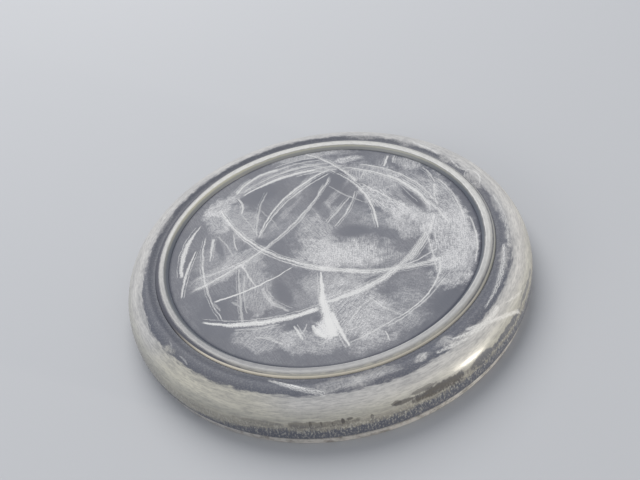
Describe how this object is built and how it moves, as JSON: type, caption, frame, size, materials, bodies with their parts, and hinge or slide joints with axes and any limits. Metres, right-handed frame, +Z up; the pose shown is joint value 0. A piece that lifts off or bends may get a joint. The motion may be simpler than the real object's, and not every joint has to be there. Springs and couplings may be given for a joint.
{
  "type": "circle template",
  "caption": "Thick round black disc with a rounded shoulder, a shallow cove, a raised ring, a flat scuffed face inside it and a thin pale lip along its base.",
  "frame": {"origin": "centre of the underside, on the surface the disc lies on", "axes": "+Z up along the axis the disc is turned about; X and Y lie in the underside"},
  "size_m": [0.12, 0.12, 0.0139],
  "materials": {
    "black_ebonite": "satin black hard rubber, rubbed pale grey over the shoulder",
    "rubbed_ebonite": "black hard rubber rubbed to an even pale grey",
    "scuffed_face": "satin black with pale arcs, streaks and cloudy scuffs",
    "pale_lip": "dull grey edge"
  },
  "bodies": {
    "root": {"disc_body": "black_ebonite", "bead_ring": "rubbed_ebonite", "face_plate": "scuffed_face", "base_plate": "pale_lip"}
  },
  "joints": []
}
